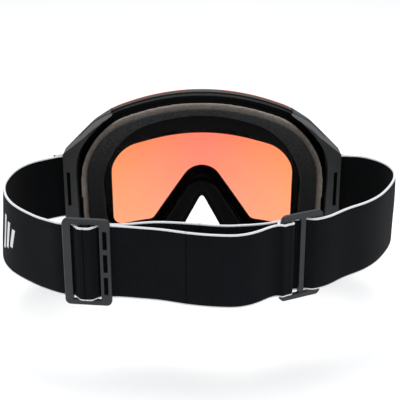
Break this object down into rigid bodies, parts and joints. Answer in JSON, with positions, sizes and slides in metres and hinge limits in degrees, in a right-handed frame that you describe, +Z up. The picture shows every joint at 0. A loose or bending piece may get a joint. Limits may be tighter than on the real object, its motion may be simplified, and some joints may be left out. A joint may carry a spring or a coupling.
{
  "type": "ski goggles",
  "caption": "Ski goggles with a wide double lens on magnets, layered face foam, outriggers and an elastic head strap held by two strap sliders.",
  "frame": {"origin": "plane of symmetry of the frame, half way from the lens to the back of the strap, at the level of the frame's lowest edge", "axes": "+Z up, the lens faces -Y, +X towards the wearer's left, the strap's loop runs back to +Y"},
  "size_m": [0.2365, 0.196, 0.1076],
  "materials": {
    "face_fleece": "brushed fleece",
    "middle_foam": "open-cell foam",
    "base_foam": "open-cell foam",
    "vent_foam": "coarse open-cell foam",
    "soft_frame": "matt, flexible",
    "rim_plastic": "satin",
    "outrigger_plastic": "satin",
    "grip_rubber": "matt, ridged",
    "pin_steel": "satin",
    "magnet_steel": "plated",
    "carrier_plastic": "satin",
    "lens_orange": "polished, tinted and coated",
    "lens_spacer": "matt",
    "lens_clear": "polished, clear",
    "strap_elastic": "woven elastic with pale edges",
    "slider_plastic": "satin"
  },
  "bodies": {
    "frame": {"foam_face_fleece": "face_fleece", "foam_middle_layer": "middle_foam", "foam_base_layer": "base_foam", "top_vent_foam": "vent_foam", "left_bottom_vent_foam": "vent_foam", "right_bottom_vent_foam": "vent_foam", "frame_chassis": "soft_frame", "front_rim": "rim_plastic", "frame_magnets": "magnet_steel", "left_outrigger": "outrigger_plastic", "right_outrigger": "outrigger_plastic", "left_grip_pad": "grip_rubber", "right_grip_pad": "grip_rubber", "left_strap_pin": "pin_steel", "right_strap_pin": "pin_steel", "left_strap_band": "strap_elastic", "right_strap_band": "strap_elastic"},
    "lens": {"lens_carrier": "carrier_plastic", "outer_lens": "lens_orange", "lens_gasket": "lens_spacer", "inner_lens": "lens_clear", "lens_magnets": "magnet_steel"},
    "left_strap_slider": {"left_slider": "slider_plastic"},
    "right_strap_slider": {"right_slider": "slider_plastic"}
  },
  "joints": [
    {"name": "lens_release", "type": "slide", "parent": "frame", "child": "lens", "axis": [0, -1, 0], "range_m": [0, 0.04]},
    {"name": "left_slider_slide", "type": "slide", "parent": "frame", "child": "left_strap_slider", "axis": [-0.9925, 0.1219, 0], "range_m": [-0.015, 0.015], "deforming": ["left_strap_band", "right_strap_band"]},
    {"name": "right_slider_slide", "type": "slide", "parent": "frame", "child": "right_strap_slider", "axis": [0.891, 0.454, 0], "range_m": [-0.015, 0.015], "deforming": ["left_strap_band", "right_strap_band"]}
  ]
}
